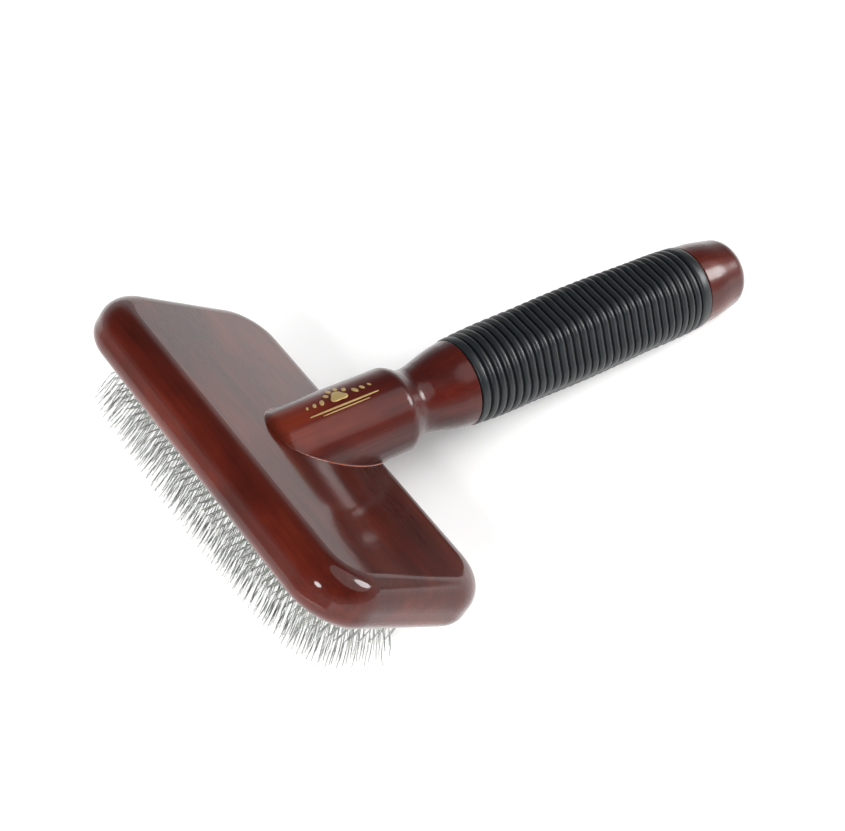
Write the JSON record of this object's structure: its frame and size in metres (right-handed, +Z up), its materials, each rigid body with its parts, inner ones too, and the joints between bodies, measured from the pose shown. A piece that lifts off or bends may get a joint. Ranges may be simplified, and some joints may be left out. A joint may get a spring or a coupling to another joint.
{
  "type": "slicker brush",
  "caption": "Pet grooming slicker brush: wide wooden head with rounded edges, domed pad of bent wire pins beneath, angled turned handle with a ribbed rubber grip.",
  "frame": {"origin": "centre of the footprint's bounding box on the table, with the brush lying on its rear pins and its butt", "axes": "+Z up from the table, +Y from the head towards the handle's end, X along the head's long side"},
  "size_m": [0.134, 0.209, 0.0605],
  "materials": {
    "lacquered_wood": "gloss mahogany-red lacquer",
    "beech": "bare",
    "zinc_steel": "zinc plated",
    "glue": "clear amber",
    "grip_rubber": "semi-matt charcoal",
    "foam": "soft foam",
    "cloth": "woven",
    "face_rubber": "matt grey",
    "staple_steel": "plain",
    "pin_steel": "drawn stainless wire"
  },
  "bodies": {
    "root": {"head_block": "lacquered_wood", "handle": "lacquered_wood", "handle_dowel": "beech", "handle_screws": "zinc_steel", "glue_film": "glue", "grip_sleeve": "grip_rubber", "foam_cushion": "foam", "foundation_cloth": "cloth", "rubber_face": "face_rubber", "border_staples": "staple_steel", "pin_row_01": "pin_steel", "pin_row_02": "pin_steel", "pin_row_03": "pin_steel", "pin_row_04": "pin_steel", "pin_row_05": "pin_steel", "pin_row_06": "pin_steel", "pin_row_07": "pin_steel", "pin_row_08": "pin_steel", "pin_row_09": "pin_steel", "pin_row_10": "pin_steel", "pin_row_11": "pin_steel", "pin_row_12": "pin_steel", "pin_row_13": "pin_steel", "pin_row_14": "pin_steel", "pin_row_15": "pin_steel", "pin_row_16": "pin_steel", "pin_row_17": "pin_steel", "pin_row_18": "pin_steel"}
  },
  "joints": []
}
